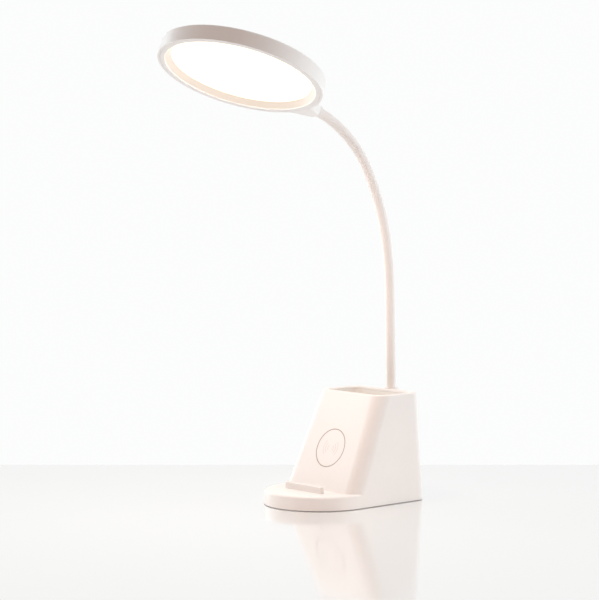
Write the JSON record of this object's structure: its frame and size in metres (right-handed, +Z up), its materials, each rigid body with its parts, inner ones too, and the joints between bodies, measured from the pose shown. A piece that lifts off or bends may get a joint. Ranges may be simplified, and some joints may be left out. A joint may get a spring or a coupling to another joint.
{
  "type": "desk lamp",
  "caption": "White desk lamp with a round light head on a gooseneck; its base has a pen cup, a sloped phone stand with a wireless charging ring and a ledge.",
  "frame": {"origin": "middle of the foot's underside, on the desk", "axes": "+X to the lamp's right, +Y to the back, +Z up; the phone slope and the light head face -Y"},
  "size_m": [0.1641, 0.2838, 0.4717],
  "materials": {
    "shell_white": "fine satin",
    "sleeve_white": "satin silicone",
    "hose_steel": "dull",
    "lead_grey": "matt",
    "pad_grey": "matt",
    "weight_iron": "raw",
    "fixing_steel": "zinc plated",
    "ring_taupe": "satin",
    "coil_copper": "enamelled",
    "ferrite_grey": "matt",
    "board_green": "lacquered",
    "guide_clear": "clear",
    "reflector_white": "matt",
    "strip_white": "satin",
    "lamp_yellow": "satin",
    "plate_aluminium": "plain",
    "diffuser_light": "opal"
  },
  "bodies": {
    "base": {"base_shell": "shell_white", "pen_cup": "shell_white", "bottom_plate": "shell_white", "base_pad": "pad_grey", "counterweight": "weight_iron", "base_screws": "fixing_steel", "small_screws": "fixing_steel", "charging_ring": "ring_taupe", "coil_holder": "shell_white", "charging_coil": "coil_copper", "ferrite_sheet": "ferrite_grey", "charger_board": "board_green", "control_board": "board_green", "power_inlet": "fixing_steel", "touch_sensor_board": "board_green", "arm_socket": "fixing_steel", "arm_washer": "fixing_steel", "arm_nut": "fixing_steel", "arm_collar": "shell_white", "sleeve_base": "sleeve_white", "hose_base": "hose_steel", "lead_base": "lead_grey"},
    "neck_1": {"sleeve_1": "sleeve_white", "hose_1": "hose_steel", "lead_1": "lead_grey"},
    "neck_2": {"sleeve_2": "sleeve_white", "hose_2": "hose_steel", "lead_2": "lead_grey"},
    "neck_3": {"sleeve_3": "sleeve_white", "hose_3": "hose_steel", "lead_3": "lead_grey"},
    "neck_4": {"sleeve_4": "sleeve_white", "hose_4": "hose_steel", "lead_4": "lead_grey"},
    "neck_5": {"sleeve_5": "sleeve_white", "hose_5": "hose_steel", "lead_5": "lead_grey"},
    "neck_6": {"sleeve_6": "sleeve_white", "hose_6": "hose_steel", "lead_6": "lead_grey"},
    "neck_7": {"sleeve_7": "sleeve_white", "hose_7": "hose_steel", "lead_7": "lead_grey", "neck_collar": "shell_white", "swivel_spigot": "fixing_steel", "swivel_washer": "fixing_steel", "swivel_nut": "fixing_steel"},
    "head": {"head_housing": "shell_white", "head_bezel": "shell_white", "diffuser": "diffuser_light", "light_guide": "guide_clear", "reflector": "reflector_white", "led_strip": "strip_white", "led_emitters": "lamp_yellow", "backing_plate": "plate_aluminium", "backing_plate_screws": "fixing_steel"}
  },
  "joints": [
    {"name": "bend_1", "type": "hinge", "parent": "base", "child": "neck_1", "pos_m": [0, 0.07549, 0.119], "axis": [1, 0, 0], "range_deg": [-15, 15]},
    {"name": "bend_2", "type": "hinge", "parent": "neck_1", "child": "neck_2", "pos_m": [0, 0.07441, 0.16299], "axis": [0, 0.9997, 0.0244], "range_deg": [-12, 12]},
    {"name": "bend_3", "type": "hinge", "parent": "neck_2", "child": "neck_3", "pos_m": [0, 0.07334, 0.20697], "axis": [1, 0, 0], "range_deg": [-15, 15]},
    {"name": "bend_4", "type": "hinge", "parent": "neck_3", "child": "neck_4", "pos_m": [0, 0.06977, 0.25081], "axis": [0, 0.9905, 0.1374], "range_deg": [-12, 12]},
    {"name": "bend_5", "type": "hinge", "parent": "neck_4", "child": "neck_5", "pos_m": [0, 0.05959, 0.29354], "axis": [1, 0, 0], "range_deg": [-15, 15]},
    {"name": "bend_6", "type": "hinge", "parent": "neck_5", "child": "neck_6", "pos_m": [0, 0.04179, 0.33372], "axis": [0, 0.8755, 0.4833], "range_deg": [-12, 12]},
    {"name": "bend_7", "type": "hinge", "parent": "neck_6", "child": "neck_7", "pos_m": [0, 0.01413, 0.36763], "axis": [1, 0, 0], "range_deg": [-15, 15]},
    {"name": "head_swivel", "type": "hinge", "parent": "neck_7", "child": "head", "pos_m": [0, -0.02299, 0.39096], "axis": [0, -0.915, 0.4035], "range_deg": [-66, 54]}
  ],
  "couplings": [
    {"joint": "bend_3", "follows": "bend_1", "ratio": 1},
    {"joint": "bend_4", "follows": "bend_2", "ratio": 1},
    {"joint": "bend_5", "follows": "bend_1", "ratio": 1},
    {"joint": "bend_6", "follows": "bend_2", "ratio": 1},
    {"joint": "bend_7", "follows": "bend_1", "ratio": 1}
  ]
}
